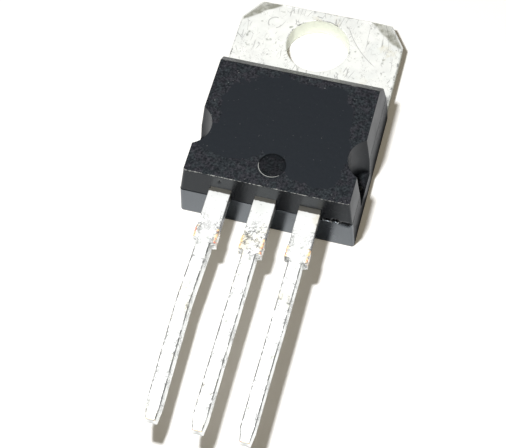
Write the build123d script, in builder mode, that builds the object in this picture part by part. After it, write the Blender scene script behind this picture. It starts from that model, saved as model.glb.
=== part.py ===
from build123d import *
import os
from math import radians, tan

# A three-lead voltage regulator in a moulded power package with a metal heat tab.
# Millimetres. The part lies on its metal back: z = 0 is the back, +Z comes out of the
# black front face, +Y runs to the free end of the tab and the leads run to -Y.
# The origin is the centre of the mounting hole on the back plane.

# Heat tab, the thick strip that carries the chip
tab_width = 10.14
tab_thickness = 1.27
tab_visible_length = 5.90
hole_diameter = 3.85
hole_to_tab_end = 2.60
hole_edge_break = 0.06
corner_cut_x = 0.95
corner_cut_y = 1.45
pressed_corner_x = 2.40
pressed_corner_y = 1.80
pressed_corner_angle = 12.0

# Header, the stretch of the strip inside the moulding
header_length = 6.70
header_side_cover = 0.33
header_lock_step = 0.50
header_lock_height = 0.45

# Leads
lead_pitch = 2.54
lead_thickness = 0.70
lead_back_height = 2.55
lead_length = 13.80
lead_width = 0.77
shoulder_width = 1.24
shoulder_length = 3.25
stub_width = 1.38
stub_length = 0.95
tip_width = 0.50
tip_length = 0.75
tip_press = 0.12
post_width = 2.30
post_length = 2.20
post_corner_round = 0.40
centre_lead_foot = 0.20
centre_lead_slope = 50.0

# Moulded body
body_length = 9.30
body_height = 4.45
body_base_width = 10.30
base_side_draft = 4.0
front_side_draft = 6.9
base_end_draft = 3.6
front_end_draft = 4.8
tab_end_draft = 13.0
bevel_leg = 0.80
parting_step = 0.04
body_corner_round = 0.18

# Side notches, left by the pins that press the header down in the mould
notch_radius = 1.40
notch_depth = 0.76
notch_to_lead_end = 3.27
notch_taper = 4.0

# Ejector pin mark in the front face
ejector_diameter = 1.50
ejector_depth = 0.08
ejector_to_lead_end = 1.65

# Chip, its solder and the bond wires
chip_width = 2.60
chip_length = 2.20
chip_thickness = 0.28
chip_to_header_end = 2.80
solder_thickness = 0.05
solder_margin = 0.12
wire_diameter = 0.25
wire_foot_length = 0.50
wire_foot_width = 0.34
wire_foot_height = 0.12
lead_wire_rise = 1.20
ground_wire_rise = 0.80
wire_runs = 3
ground_wire_reach = 1.70
wire_inset = 0.45

# Places that follow from the sizes above
tab_end_y = hole_to_tab_end
body_tab_end_y = tab_end_y - tab_visible_length
body_lead_end_y = body_tab_end_y - body_length
header_end_y = body_tab_end_y - header_length
lead_end_y = body_lead_end_y - lead_length
shoulder_end_y = body_lead_end_y - shoulder_length
lead_front_height = lead_back_height + lead_thickness
parting_height = lead_back_height
half_base = body_base_width / 2
half_parting = half_base - parting_height * tan(radians(base_side_draft))
half_front_parting = half_parting - parting_step
half_front = half_front_parting - (body_height - parting_height) * tan(radians(front_side_draft))
front_end_y = body_lead_end_y + parting_step + (body_height - parting_height) * tan(radians(front_end_draft))
base_end_y = body_lead_end_y + parting_height * tan(radians(base_end_draft))
bevel_foot_height = body_height - bevel_leg
bevel_foot_y = body_tab_end_y - (bevel_foot_height - tab_thickness) * tan(radians(tab_end_draft))
header_width = 2 * (half_base - tab_thickness * tan(radians(base_side_draft)) - header_side_cover)
chip_y = header_end_y + chip_to_header_end
chip_top = tab_thickness + solder_thickness + chip_thickness
post_end_y = body_lead_end_y + post_length

os.makedirs("parts", exist_ok=True)


def lead_strip(centre_x):
    """A lead outside the moulding: wide shoulder, sheared tie-bar stubs and a thin leg."""
    with BuildPart() as strip:
        with BuildSketch(Plane.XY.offset(lead_back_height)):
            with Locations((centre_x, body_lead_end_y)):
                Rectangle(shoulder_width, shoulder_length, align=(Align.CENTER, Align.MAX))
            with Locations((centre_x, shoulder_end_y)):
                Rectangle(stub_width, stub_length, align=(Align.CENTER, Align.MIN))
                Rectangle(lead_width, shoulder_end_y - lead_end_y, align=(Align.CENTER, Align.MAX))
            for side in (-1, 1):
                with BuildLine():
                    Polyline(
                        (centre_x + side * lead_width / 2, lead_end_y + tip_length),
                        (centre_x + side * lead_width / 2, lead_end_y),
                        (centre_x + side * tip_width / 2, lead_end_y),
                        close=True,
                    )
                make_face(mode=Mode.SUBTRACT)
        extrude(amount=lead_thickness)
        with BuildSketch(Plane.YZ.offset(centre_x)):
            with BuildLine():
                Polyline(
                    (lead_end_y + tip_length, lead_front_height),
                    (lead_end_y, lead_front_height),
                    (lead_end_y, lead_front_height - tip_press),
                    close=True,
                )
            make_face()
        extrude(amount=lead_width, both=True, mode=Mode.SUBTRACT)
    return strip.part


# Heat tab, header and centre lead are one piece, so the tab and the middle lead are joined
with BuildPart() as heat_tab:
    with BuildSketch():
        with Locations((0, tab_end_y)):
            Rectangle(tab_width, tab_visible_length, align=(Align.CENTER, Align.MAX))
        for side in (-1, 1):
            with BuildLine():
                Polyline(
                    (side * (tab_width / 2 - corner_cut_x), tab_end_y),
                    (side * tab_width / 2, tab_end_y),
                    (side * tab_width / 2, tab_end_y - corner_cut_y),
                    close=True,
                )
            make_face(mode=Mode.SUBTRACT)
    extrude(amount=tab_thickness)
    # The two free corners are pressed down a little, along a line across each corner
    for side in (-1, 1):
        along = Vector(side * pressed_corner_x, -pressed_corner_y, 0)
        outward = Vector(side * pressed_corner_y, pressed_corner_x, 0)
        middle = Vector(side * (tab_width - pressed_corner_x) / 2, tab_end_y - pressed_corner_y / 2, tab_thickness)
        with BuildSketch(Plane(origin=middle, x_dir=outward, z_dir=along * side)):
            with BuildLine():
                Polyline(
                    (0, 0),
                    (tab_width, 0),
                    (tab_width, -tab_width * tan(radians(pressed_corner_angle))),
                    close=True,
                )
            make_face()
        extrude(amount=pressed_corner_x, both=True, mode=Mode.SUBTRACT)
    # Header: its lower edge is set back on three sides, so the moulding grips under it
    with BuildSketch():
        with Locations((0, body_tab_end_y)):
            Rectangle(
                header_width - 2 * header_lock_step,
                header_length - header_lock_step,
                align=(Align.CENTER, Align.MAX),
            )
    extrude(amount=tab_thickness)
    with BuildSketch(Plane.XY.offset(header_lock_height)):
        with Locations((0, body_tab_end_y)):
            Rectangle(header_width, header_length, align=(Align.CENTER, Align.MAX))
    extrude(amount=tab_thickness - header_lock_height)
    # Centre lead: leaves the header's end, climbs to lead height and runs out
    foot_height = tab_thickness - lead_thickness
    foot_y = header_end_y - centre_lead_foot
    climb_y = foot_y - (lead_back_height - foot_height) / tan(radians(centre_lead_slope))
    mitre = lead_thickness * tan(radians(centre_lead_slope / 2))
    with BuildSketch(Plane.YZ):
        with BuildLine():
            Polyline(
                (header_end_y + header_lock_step, foot_height),
                (foot_y, foot_height),
                (climb_y, lead_back_height),
                (body_lead_end_y, lead_back_height),
                (body_lead_end_y, lead_front_height),
                (climb_y + mitre, lead_front_height),
                (foot_y + mitre, tab_thickness),
                (header_end_y + header_lock_step, tab_thickness),
                close=True,
            )
        make_face()
    extrude(amount=shoulder_width / 2, both=True)
    add(lead_strip(0))
    with Locations((0, 0, tab_thickness)):
        Hole(hole_diameter / 2)
    front_rim = heat_tab.edges().filter_by(GeomType.CIRCLE).group_by(Axis.Z)[-1]
    chamfer(front_rim, hole_edge_break)
heat_tab.part.label = "heat_tab"
export_step(heat_tab.part, "parts/heat_tab.step")


def outer_lead(label, centre_x):
    """An outer lead: the strip outside and the wide bonding post inside the moulding."""
    with BuildPart() as lead:
        with BuildSketch(Plane.XY.offset(lead_back_height)) as post:
            with Locations((centre_x, body_lead_end_y)):
                Rectangle(post_width, post_length, align=(Align.CENTER, Align.MIN))
            fillet(post.vertices().group_by(Axis.Y)[-1], post_corner_round)
            with Locations((centre_x, body_lead_end_y)):
                Rectangle(post_width, post_length / 3, align=(Align.CENTER, Align.MIN), mode=Mode.SUBTRACT)
                Rectangle(shoulder_width, post_length / 3, align=(Align.CENTER, Align.MIN))
        extrude(amount=lead_thickness)
        add(lead_strip(centre_x))
    lead.part.label = label
    export_step(lead.part, f"parts/{label}.step")
    return lead.part


input_lead = outer_lead("input_lead", -lead_pitch)
output_lead = outer_lead("output_lead", lead_pitch)

# Solder layer and chip, stacked on the header
with BuildPart() as chip_solder:
    with Locations((0, chip_y, tab_thickness)):
        Box(
            chip_width + 2 * solder_margin,
            chip_length + 2 * solder_margin,
            solder_thickness,
            align=(Align.CENTER, Align.CENTER, Align.MIN),
        )
chip_solder.part.label = "chip_solder"
export_step(chip_solder.part, "parts/chip_solder.step")

with BuildPart() as regulator_chip:
    with Locations((0, chip_y, tab_thickness + solder_thickness)):
        Box(chip_width, chip_length, chip_thickness, align=(Align.CENTER, Align.CENTER, Align.MIN))
regulator_chip.part.label = "regulator_chip"
export_step(regulator_chip.part, "parts/regulator_chip.step")


def bond_wire(label, start, end, rise):
    """A wire arched from start to end, with a flattened foot bonded down at each."""
    start = Vector(*start)
    end = Vector(*end)
    level_run = Vector(end.X - start.X, end.Y - start.Y, 0)
    along = [step / wire_runs for step in range(wire_runs + 1)]
    points = [start + (end - start) * t + Vector(0, 0, wire_foot_height + 4 * rise * t * (1 - t)) for t in along]
    with BuildPart() as wire:
        with BuildLine() as path:
            Polyline(*points)
        with BuildSketch(Plane(origin=path.line @ 0, z_dir=path.line % 0)):
            Circle(wire_diameter / 2)
        sweep(path=path.line, transition=Transition.RIGHT)
        for foot in (start, end):
            with BuildSketch(Plane(origin=foot, x_dir=level_run, z_dir=(0, 0, 1))):
                Rectangle(wire_foot_length, wire_foot_width)
            extrude(amount=wire_foot_height)
    wire.part.label = label
    export_step(wire.part, f"parts/{label}.step")
    return wire.part


wire_x = chip_width / 2 - wire_inset
input_wire = bond_wire(
    "input_bond_wire",
    (-wire_x, chip_y - chip_length / 2 + wire_inset, chip_top),
    (-lead_pitch, post_end_y - wire_inset, lead_front_height),
    lead_wire_rise,
)
output_wire = bond_wire(
    "output_bond_wire",
    (wire_x, chip_y - chip_length / 2 + wire_inset, chip_top),
    (lead_pitch, post_end_y - wire_inset, lead_front_height),
    lead_wire_rise,
)
ground_wire = bond_wire(
    "ground_bond_wire",
    (0, chip_y + chip_length / 2 - wire_inset, chip_top),
    (0, chip_y + chip_length / 2 + ground_wire_reach, tab_thickness),
    ground_wire_rise,
)

# Moulded body: the side profile cut to the end profile, then notched, marked and hollowed
# by the pieces that it is moulded around
with BuildPart() as mould_body:
    with BuildSketch(Plane.YZ):
        with BuildLine():
            Polyline(
                (body_tab_end_y, 0),
                (body_tab_end_y, tab_thickness),
                (bevel_foot_y, bevel_foot_height),
                (bevel_foot_y - bevel_leg, body_height),
                (front_end_y, body_height),
                (body_lead_end_y + parting_step, parting_height),
                (body_lead_end_y, parting_height),
                (base_end_y, 0),
                close=True,
            )
        make_face()
    extrude(amount=body_base_width, both=True)
    with BuildSketch(Plane.XZ):
        with BuildLine():
            Polyline(
                (half_base, 0),
                (half_parting, parting_height),
                (half_front_parting, parting_height),
                (half_front, body_height),
                (-half_front, body_height),
                (-half_front_parting, parting_height),
                (-half_parting, parting_height),
                (-half_base, 0),
                close=True,
            )
        make_face()
    extrude(amount=2 * body_length, both=True, mode=Mode.INTERSECT)
    corner_edges = mould_body.edges().filter_by(
        lambda e: abs((e @ 1 - e @ 0).Z) > body_height / 4 and e.center().Y < body_lead_end_y + body_length / 4
    )
    fillet(corner_edges, body_corner_round)
    notch_height = body_height - tab_thickness
    for side in (-1, 1):
        with Locations(
            (
                side * (half_front - notch_depth + notch_radius),
                body_lead_end_y + notch_to_lead_end,
                tab_thickness,
            )
        ):
            Cone(
                bottom_radius=notch_radius - notch_height * tan(radians(notch_taper)),
                top_radius=notch_radius,
                height=notch_height,
                align=(Align.CENTER, Align.CENTER, Align.MIN),
                mode=Mode.SUBTRACT,
            )
    with Locations((0, body_lead_end_y + ejector_to_lead_end, body_height)):
        Cylinder(
            ejector_diameter / 2,
            ejector_depth,
            align=(Align.CENTER, Align.CENTER, Align.MAX),
            mode=Mode.SUBTRACT,
        )
    for inner in (
        heat_tab.part,
        input_lead,
        output_lead,
        chip_solder.part,
        regulator_chip.part,
        input_wire,
        output_wire,
        ground_wire,
    ):
        add(inner, mode=Mode.SUBTRACT)
mould_body.part.label = "mould_body"
export_step(mould_body.part, "parts/mould_body.step")
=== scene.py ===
"""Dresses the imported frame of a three-lead voltage regulator for rendering.

The part lies on its metal back, with the origin at the centre of its mounting hole. +Z comes
out of the black front, +Y runs to the free end of the tab and the leads run to -Y. The classes
hold their sizes in millimetres, and only the mesh writer turns them into metres.
"""

import logging
from collections.abc import Sequence
from dataclasses import dataclass, field
from enum import Enum
from functools import cache, reduce
from math import ceil, cos, pi, radians, sin, tan

import bmesh
import bpy
import numpy as np
from mathutils import Matrix, Vector


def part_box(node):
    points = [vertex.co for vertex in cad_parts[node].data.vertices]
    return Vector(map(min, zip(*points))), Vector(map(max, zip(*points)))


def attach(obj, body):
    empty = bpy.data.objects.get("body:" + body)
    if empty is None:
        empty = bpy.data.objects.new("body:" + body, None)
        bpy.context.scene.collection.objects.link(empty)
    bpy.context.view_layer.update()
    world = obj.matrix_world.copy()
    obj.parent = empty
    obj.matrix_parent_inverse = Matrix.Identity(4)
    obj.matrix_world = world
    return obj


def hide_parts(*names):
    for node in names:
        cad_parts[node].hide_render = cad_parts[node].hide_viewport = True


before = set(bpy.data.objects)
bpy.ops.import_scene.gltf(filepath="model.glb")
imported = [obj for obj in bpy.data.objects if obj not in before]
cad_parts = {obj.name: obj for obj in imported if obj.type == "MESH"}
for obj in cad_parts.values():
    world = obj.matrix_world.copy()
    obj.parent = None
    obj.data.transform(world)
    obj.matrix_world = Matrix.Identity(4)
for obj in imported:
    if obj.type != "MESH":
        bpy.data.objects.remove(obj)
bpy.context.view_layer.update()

MM = 0.001
WELD = 1e-4
ROOT = "root"
DENT_PLACE = (-2.95, 1.10)
DENT_RADIUS = 0.42
log = logging.getLogger("regulator")

Array = np.ndarray
Colour = tuple[float, float, float, float]
Masks = dict["Mark", Array]


class Slot(Enum):
    """The record's material slots."""

    MOULD = "mould_compound"
    TAB = "plated_tab"
    LEAD = "plated_lead"
    SILICON = "silicon"
    SOLDER = "solder"
    WIRE = "bond_wire"


class Mark(Enum):
    """Masks that the meshes carry at their points, from 0 to 1. Some hold painted light: shade in recesses,
    on the tab's pressed corners and bore and on the leads' shoulder sides, and highlights and glints along
    the moulding's edges.
    """

    ROUGH = "rough_front"
    EDGE = "edge"
    SHEARED = "sheared"
    WORN = "worn"
    BARE = "bare_copper"
    FILM_AND_SHADE = "mould_film_and_shade"
    HOLLOW_SHADE = "hollow_shade"
    PAINTED_SHADE = "pressed"
    BORE = "bore"


# Plain mathematics on whole arrays


def stops(marks: Sequence[float], pitches: Sequence[float]) -> Array:
    """Sample positions that pass through every mark.

    Each gap between two marks is cut into equal steps no longer than its pitch.

    Args:
        marks: Rising positions that the samples must hit.
        pitches: The longest step allowed in each gap, one fewer than the marks.

    Returns:
        The rising sample positions, both ends included.
    """
    spans = [
        np.linspace(start, end, max(1, ceil((end - start) / pitch - 1e-9)), endpoint=False)
        for start, end, pitch in zip(marks, marks[1:], pitches)
    ]
    return np.concatenate([*spans, [marks[-1]]])


def ramp(value: Array, low: float, high: float) -> Array:
    """Smoothstep of value between low and high: 3t^2 - 2t^3 of the clipped share t.

    Args:
        value: The array to ease.
        low: Where the result is 0.
        high: Where the result is 1.

    Returns:
        The eased share, from 0 to 1.
    """
    share = np.clip((value - low) / (high - low), 0.0, 1.0)
    return share * share * (3.0 - 2.0 * share)


def soft_minimum(one: Array, other: Array, blend: float) -> Array:
    """The smaller of two arrays with the crease rounded off.

    It is the minimum less blend times the logarithm of one plus the exponential of minus
    their distance over blend.

    Args:
        one: First array.
        other: Second array.
        blend: Distance over which the crease is rounded.

    Returns:
        The rounded minimum.
    """
    return np.minimum(one, other) - blend * np.log1p(np.exp(-np.abs(one - other) / blend))


def ripple(x: Array, y: Array, size: float, seed: int) -> Array:
    """Smooth random heights: random values on a square lattice, eased between its corners.

    Args:
        x: First coordinate.
        y: Second coordinate.
        size: Pitch of the lattice.
        seed: Seed of the random values.

    Returns:
        Heights between -1 and 1.
    """
    lattice = 64
    table = np.random.default_rng(seed).uniform(-1.0, 1.0, (lattice, lattice))
    column, row = np.floor(x / size).astype(int), np.floor(y / size).astype(int)
    across = ramp(x / size - column, 0.0, 1.0)
    along = ramp(y / size - row, 0.0, 1.0)

    def corner(right: int, up: int) -> Array:
        """The lattice value right columns and up rows further on."""
        return table[(column + right) % lattice, (row + up) % lattice]

    low = corner(0, 0) * (1 - across) + corner(1, 0) * across
    high = corner(0, 1) * (1 - across) + corner(1, 1) * across
    return low * (1 - along) + high * along


def round_square(one: Array, other: Array, radius: float) -> tuple[Array, Array]:
    """Rounds a square edge between two faces.

    one and other are the depths below the two faces. Within radius of both, the square of
    side radius is shrunk radially onto its quarter disc: each vector from the disc's centre
    is scaled by its larger component over its length.

    Args:
        one: Depth below the first face.
        other: Depth below the second face.
        radius: Radius of the rounding.

    Returns:
        The two depths after rounding.
    """
    first = np.clip(1.0 - one / radius, 0.0, 1.0)
    second = np.clip(1.0 - other / radius, 0.0, 1.0)
    length = np.hypot(first, second)
    scale = np.where(length > 0, np.maximum(first, second) / np.maximum(length, 1e-9), 1.0)
    inside = (first > 0) & (second > 0)
    return (
        np.where(inside, radius * (1.0 - first * scale), one),
        np.where(inside, radius * (1.0 - second * scale), other),
    )


def rounded_loop(corners: Sequence[tuple[float, float, float]], pitch: float) -> Array:
    """A closed outline with rounded corners, sampled along its length.

    At a corner of turn a and radius r the arc starts r tan(a / 2) before the corner and
    follows the quadratic curve that has the corner as its control point.

    Args:
        corners: x, y and radius of each corner, anticlockwise.
        pitch: Longest step along the straight stretches.

    Returns:
        The outline's points, one row each.
    """
    points, radius = np.array(corners)[:, :2], np.array(corners)[:, 2:]
    into = points - np.roll(points, 1, axis=0)
    into /= np.linalg.norm(into, axis=1, keepdims=True)
    out = np.roll(into, -1, axis=0)
    turn = np.arccos(np.clip((into * out).sum(axis=1, keepdims=True), -1.0, 1.0))
    cut = radius * np.tan(turn / 2)
    starts, ends = points - into * cut, points + out * cut
    share = np.linspace(0.0, 1.0, 6)[:, None]
    spans: list[Array] = []
    for start, corner, end, target in zip(starts, points, ends, np.roll(starts, -1, axis=0)):
        spans.append((1 - share) ** 2 * start + 2 * share * (1 - share) * corner + share**2 * end)
        steps = max(2, ceil(np.linalg.norm(target - end) / pitch) + 1)
        spans.append(end + (target - end) * np.linspace(0.0, 1.0, steps)[1:-1, None])
    return np.concatenate(spans)


class Skin:
    """Collects grid patches in millimetres, welds their shared borders, writes one mesh."""

    def __init__(self, name: str) -> None:
        """Starts an empty skin of that name."""
        self.name = name
        self.points: list[Array] = []
        self.quads: list[Array] = []
        self.marks: dict[Mark, list[Array]] = {}
        self.count = 0

    def add(
        self,
        points: Array,
        marks: Masks,
        wrap: bool = False,
        keep: Array | None = None,
    ) -> None:
        """Adds one grid of points, whose neighbours become four-sided faces.

        Args:
            points: Rows by columns by three coordinates.
            marks: A mask of rows by columns for each mark; those left out are 0.
            wrap: Whether the last column joins the first.
            keep: Rows by columns of cells, False where a cell is left open.
        """
        shape = points.shape[:2]
        index = np.arange(shape[0] * shape[1]).reshape(shape) + self.count
        if wrap:
            index = np.concatenate([index, index[:, :1]], axis=1)
        quads = np.stack([index[:-1, :-1], index[1:, :-1], index[1:, 1:], index[:-1, 1:]], axis=-1)
        self.quads.append(quads.reshape(-1, 4) if keep is None else quads[keep])
        self.points.append(points.reshape(-1, 3))
        for mark in Mark:
            values = marks.get(mark, np.zeros(shape))
            self.marks.setdefault(mark, []).append(np.broadcast_to(values, shape).reshape(-1))
        self.count += shape[0] * shape[1]

    def write(self, material: bpy.types.Material, slot: Slot, nodes: Sequence[str]) -> bpy.types.Object:
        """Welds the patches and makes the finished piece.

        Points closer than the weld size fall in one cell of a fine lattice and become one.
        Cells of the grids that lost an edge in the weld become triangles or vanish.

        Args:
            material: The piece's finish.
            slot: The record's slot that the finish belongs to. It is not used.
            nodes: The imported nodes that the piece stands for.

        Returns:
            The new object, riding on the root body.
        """
        points = np.concatenate(self.points)
        # The shift keeps round sizes away from the borders of the lattice cells
        cells = np.floor(points / WELD + 0.137).astype(np.int64)
        _, first, welded = np.unique(cells, axis=0, return_index=True, return_inverse=True)
        quads = welded.reshape(-1)[np.concatenate(self.quads)]
        doubled = quads == np.roll(quads, -1, axis=1)
        lost = doubled.sum(axis=1)
        crossed = (quads[:, 0] == quads[:, 2]) | (quads[:, 1] == quads[:, 3])
        whole = quads[(lost == 0) & ~crossed]
        narrow = (lost == 1) & ~crossed
        faces = whole.tolist() + quads[narrow][~doubled[narrow]].reshape(-1, 3).tolist()
        mesh = bpy.data.meshes.new(self.name)
        mesh.from_pydata((points[first] * MM).tolist(), [], faces)
        for mark, values in self.marks.items():
            layer = mesh.attributes.new(mark.value, "FLOAT", "POINT")
            layer.data.foreach_set("value", np.concatenate(values)[first].astype(np.float32))
        shell = bmesh.new()
        shell.from_mesh(mesh)
        bmesh.ops.recalc_face_normals(shell, faces=shell.faces)
        if shell.calc_volume(signed=True) < 0:
            bmesh.ops.reverse_faces(shell, faces=shell.faces)
        shell.to_mesh(mesh)
        shell.free()
        mesh.polygons.foreach_set("use_smooth", np.ones(len(mesh.polygons), dtype=bool))
        mesh.set_sharp_from_angle(angle=radians(50))
        mesh.materials.append(material)
        piece = bpy.data.objects.new(self.name, mesh)
        bpy.context.scene.collection.objects.link(piece)
        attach(piece, ROOT)
        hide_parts(*nodes)
        return piece


# Shader nodes


Socket = bpy.types.NodeSocket
Wire = Socket | float | tuple[float, ...]
Wires = dict[int | str, Wire]
Sockets = bpy.types.bpy_prop_collection
ORIGIN = (0.0, 0.0, 0.0)


class Nodes:
    """Short ways to add shader nodes to one tree. A wire is an input's socket or its value."""

    def __init__(self, tree: bpy.types.NodeTree) -> None:
        """Works on that tree."""
        self.tree = tree

    def wire(self, node: bpy.types.Node, wires: Wires) -> None:
        """Feeds a node's inputs.

        Args:
            node: The node.
            wires: For each input, the socket that feeds it or the value it holds.
        """
        for key, value in wires.items():
            if isinstance(value, Socket):
                self.tree.links.new(value, node.inputs[key])
            else:
                node.inputs[key].default_value = value

    def put(self, kind: str, wires: Wires | None = None, **settings: object) -> bpy.types.Node:
        """Adds one shader node.

        Args:
            kind: The node's type, without the ShaderNode in front.
            wires: What feeds its inputs.
            settings: Properties to set on the node.

        Returns:
            The new node.
        """
        node = self.tree.nodes.new(f"ShaderNode{kind}")
        node.location = (190 * (len(self.tree.nodes) % 12), -260 * (len(self.tree.nodes) // 12))
        for key, value in settings.items():
            setattr(node, key, value)
        self.wire(node, wires or {})
        return node

    def math(self, operation: str, *terms: Wire, clamp: bool = False) -> Socket:
        """The result of a Math node, kept from 0 to 1 where clamp is set."""
        return self.put("Math", dict(enumerate(terms)), operation=operation, use_clamp=clamp).outputs[0]

    def times(self, first: Wire, *others: Wire) -> Socket:
        """The product of all the terms."""
        return reduce(lambda product, term: self.math("MULTIPLY", product, term), others, first)

    def plus(self, value: Wire, factor: Wire, more: Wire) -> Socket:
        """The value times the factor, plus more."""
        return self.math("MULTIPLY_ADD", value, factor, more)

    def vector(self, operation: str, *terms: Wire) -> Socket:
        """The result of a Vector Math node: a vector, or a number for a length or a dot product."""
        number = operation in ("LENGTH", "DOT_PRODUCT")
        return self.put("VectorMath", dict(enumerate(terms)), operation=operation).outputs[int(number)]

    def parts(self, vector: Wire) -> list[Socket]:
        """The three coordinates of a vector."""
        return self.put("SeparateXYZ", {0: vector}).outputs[:]

    def ease(self, value: Wire, low: float, high: float, out: tuple[float, float] = (0.0, 1.0)) -> Socket:
        """A value eased from between low and high to between the two numbers of out."""
        wires = {"Value": value, "From Min": low, "From Max": high, "To Min": out[0], "To Max": out[1]}
        return self.put("MapRange", wires, interpolation_type="SMOOTHSTEP").outputs["Result"]

    def gate(self, value: Wire, cut: Wire, gain: float) -> Socket:
        """A mask that opens where the value passes the cut, as steeply as the gain says."""
        return self.math("MULTIPLY", self.math("SUBTRACT", value, cut), gain, clamp=True)

    def broken_line(self, off: Wire, width: Wire, gaps: Wire, cut: Wire, gain: float) -> Socket:
        """A line that interruptions break up.

        Args:
            off: Distance from the line's middle.
            width: Distance at which it has faded out.
            gaps: Value that interrupts it.
            cut: The line shows where gaps is over this.
            gain: How steeply it comes and goes.

        Returns:
            The mask's socket.
        """
        line = self.math("SUBTRACT", 1.0, self.math("DIVIDE", off, width), clamp=True)
        return self.times(line, self.gate(gaps, cut, gain))

    def mix(self, share: Wire, first: Wire, second: Wire, how: str = "MIX") -> Socket:
        """Two colours mixed by a share, 0 for the first."""
        return self.put("Mix", {0: share, 6: first, 7: second}, data_type="RGBA", blend_type=how).outputs[2]

    def between(self, share: Wire, first: Wire, second: Wire) -> Socket:
        """A number between two others by a share, 0 for the first."""
        return self.put("Mix", {0: share, 2: first, 3: second}, data_type="FLOAT").outputs[0]

    def noise(self, place: Wire, scale: Wire, detail: float, roughness: float = 0.5) -> Socket:
        """Noise about 0.5, of scale cells per metre, with detail octaves of finer noise."""
        wires = {"Vector": place, "Scale": scale, "Detail": detail, "Roughness": roughness}
        return self.put("TexNoise", wires).outputs[0]

    def bump(self, strength: float, distance: float, height: Wire) -> Socket:
        """The normal of a surface with that height, whose full range is distance metres."""
        return self.put("Bump", {"Strength": strength, "Distance": distance, "Height": height}).outputs[0]

    def mark(self, mark: Mark) -> Socket:
        """A mask that the mesh carries."""
        return self.put("Attribute", attribute_name=mark.value).outputs["Fac"]

    def use(self, group: bpy.types.NodeTree, **wires: Wire) -> Sockets:
        """Places a node group, with its inputs by name, and gives its outputs."""
        node = self.put("Group", node_tree=group)
        self.wire(node, wires)
        return node.outputs

    def hand_out(self, **results: Socket) -> bpy.types.NodeTree:
        """Ends a group: each result feeds the output of its name."""
        self.wire(self.tree.nodes.new("NodeGroupOutput"), results)
        return self.tree


def new_group(name: str, outputs: Sequence[str], **inputs: Wire) -> tuple[Nodes, Sockets]:
    """An empty node group with its sockets.

    Args:
        name: The group's name.
        outputs: Names of the outputs, all plain numbers.
        inputs: Default of each named input, a number or a vector.

    Returns:
        The group's nodes, and what its inputs give.
    """
    tree = bpy.data.node_groups.new(name, "ShaderNodeTree")
    for label, default in inputs.items():
        kind = "Float" if isinstance(default, float) else "Vector"
        socket = tree.interface.new_socket(name=label, in_out="INPUT", socket_type=f"NodeSocket{kind}")
        socket.default_value = default
    for label in outputs:
        tree.interface.new_socket(name=label, in_out="OUTPUT", socket_type="NodeSocketFloat")
    return Nodes(tree), tree.nodes.new("NodeGroupInput").outputs


@cache
def fine_grain() -> bpy.types.NodeTree:
    """Grain of a cast or plated surface.

    Returns:
        A group that gives a height and a mask of scattered flecks.
    """
    nodes, given = new_group("fine_grain", ("Height", "Flecks"), Vector=ORIGIN, Scale=9000.0, Coverage=0.5)
    place, scale = given["Vector"], given["Scale"]
    speck = nodes.noise(place, nodes.times(scale, 1.9), 1.0)
    flecks = nodes.gate(speck, nodes.plus(given["Coverage"], -0.36, 0.86), 9.0)
    return nodes.hand_out(Height=nodes.noise(place, scale, 4.0, 0.65), Flecks=flecks)


@cache
def edge_wear_and_highlight() -> bpy.types.NodeTree:
    """Wear along the edges that a mesh marks; on the moulding it also paints highlights and glints.

    Returns:
        A group that breaks up the edge mask with noise.
    """
    nodes, given = new_group("edge_wear_and_highlight", ("Mask",), Vector=ORIGIN, Edge=0.0, Scale=4000.0, Amount=0.5)
    speck = nodes.math("SUBTRACT", nodes.noise(given["Vector"], given["Scale"], 3.0, 0.7), 0.5)
    broken = nodes.ease(nodes.plus(speck, 2.4, given["Edge"]), 0.35, 0.95)
    on_edge = nodes.math("GREATER_THAN", given["Edge"], 0.02)
    return nodes.hand_out(Mask=nodes.times(broken, on_edge, given["Amount"]))


@cache
def fine_lines() -> bpy.types.NodeTree:
    """Thin broken lines, as scratches or cracks: cell borders, bent and interrupted by noise.

    Returns:
        A group that gives the mask of the lines.
    """
    inputs = {"Vector": ORIGIN, "Scale": 900.0, "Width": 0.03, "Bend": 0.0002, "Coverage": 0.4}
    nodes, given = new_group("fine_lines", ("Mask",), **inputs)
    place, scale = given["Vector"], given["Scale"]
    wobble = nodes.put("TexNoise", {"Vector": place, "Scale": scale, "Detail": 2.0}).outputs["Color"]
    shift = nodes.vector("MULTIPLY", nodes.vector("SUBTRACT", wobble, (0.5, 0.5, 0.5)), given["Bend"])
    wires = {"Vector": nodes.vector("ADD", place, shift), "Scale": scale}
    off = nodes.put("TexVoronoi", wires, feature="DISTANCE_TO_EDGE").outputs["Distance"]
    gaps = nodes.noise(place, nodes.times(scale, 1.7), 1.0)
    cut = nodes.plus(given["Coverage"], -0.5, 0.8)
    return nodes.hand_out(Mask=nodes.broken_line(off, given["Width"], gaps, cut, 14.0))


@cache
def scribbles() -> bpy.types.NodeTree:
    """Short curly scratches: the contour line of a noise at its mean, interrupted by another.

    Returns:
        A group that gives the mask of the scratches.
    """
    nodes, given = new_group("scribbles", ("Mask",), Vector=ORIGIN, Scale=3000.0, Width=0.02, Coverage=0.5)
    place, scale = given["Vector"], given["Scale"]
    off = nodes.math("ABSOLUTE", nodes.math("SUBTRACT", nodes.noise(place, scale, 3.0, 0.6), 0.5))
    moved = nodes.vector("ADD", place, (0.031, 0.017, 0.009))
    gaps = nodes.noise(moved, nodes.times(scale, 0.8), 2.0)
    cut = nodes.plus(given["Coverage"], -0.42, 0.74)
    return nodes.hand_out(Mask=nodes.broken_line(off, given["Width"], gaps, cut, 12.0))


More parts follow.
